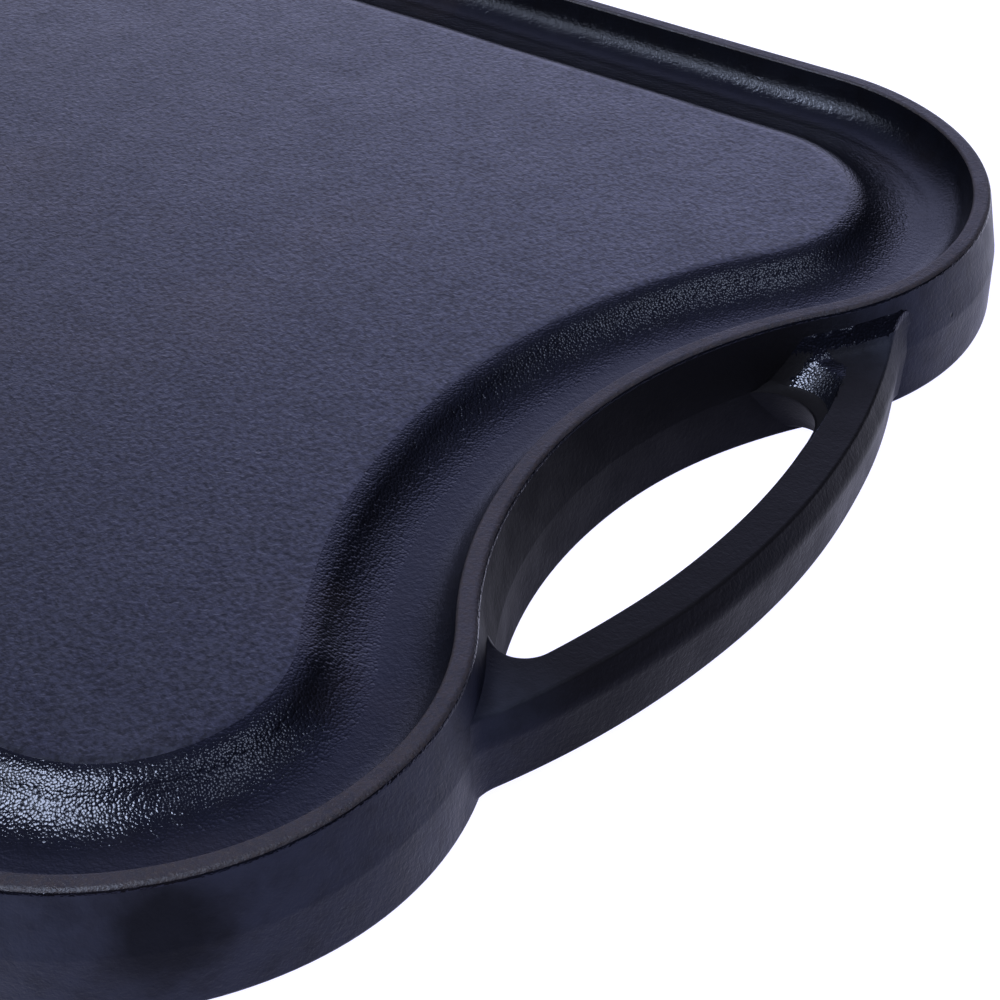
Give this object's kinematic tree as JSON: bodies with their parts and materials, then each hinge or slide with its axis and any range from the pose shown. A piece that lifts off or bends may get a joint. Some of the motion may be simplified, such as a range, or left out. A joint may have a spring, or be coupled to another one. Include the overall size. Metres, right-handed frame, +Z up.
{
  "type": "camp griddle plate",
  "caption": "Long cast iron griddle plate with a raised flat deck, grease gutter, upstanding rim, bowed bar handles at its dipped ends and grill ribs below.",
  "frame": {"origin": "middle of the plane that the foot of the skirt stands on", "axes": "+X along the plate towards the right handle, +Y across it towards the back, +Z up"},
  "size_m": [0.5122, 0.2686, 0.022],
  "materials": {
    "seasoned_iron": "oil-seasoned sand-cast iron with a fine pebbled grain and a soft sheen",
    "rim_iron": "oil-seasoned sand-cast iron with a ground, duller top edge"
  },
  "bodies": {
    "root": {"cooking_deck": "seasoned_iron", "gutter_front": "seasoned_iron", "gutter_back": "seasoned_iron", "gutter_corner_front_left": "seasoned_iron", "gutter_corner_front_right": "seasoned_iron", "gutter_corner_back_left": "seasoned_iron", "gutter_corner_back_right": "seasoned_iron", "gutter_dip_left": "seasoned_iron", "gutter_dip_right": "seasoned_iron", "handle_left": "seasoned_iron", "handle_right": "seasoned_iron", "rib_1": "seasoned_iron", "rib_2": "seasoned_iron", "rib_3": "seasoned_iron", "rib_4": "seasoned_iron", "rib_5": "seasoned_iron", "rib_6": "seasoned_iron", "rib_7": "seasoned_iron", "rib_8": "seasoned_iron", "rib_9": "seasoned_iron", "rib_10": "seasoned_iron", "rib_11": "seasoned_iron", "rib_12": "seasoned_iron", "rib_13": "seasoned_iron", "rim_front": "rim_iron", "rim_back": "rim_iron", "rim_corner_front_left": "rim_iron", "rim_corner_front_right": "rim_iron", "rim_corner_back_left": "rim_iron", "rim_corner_back_right": "rim_iron", "rim_dip_left": "rim_iron", "rim_dip_right": "rim_iron"}
  },
  "joints": []
}
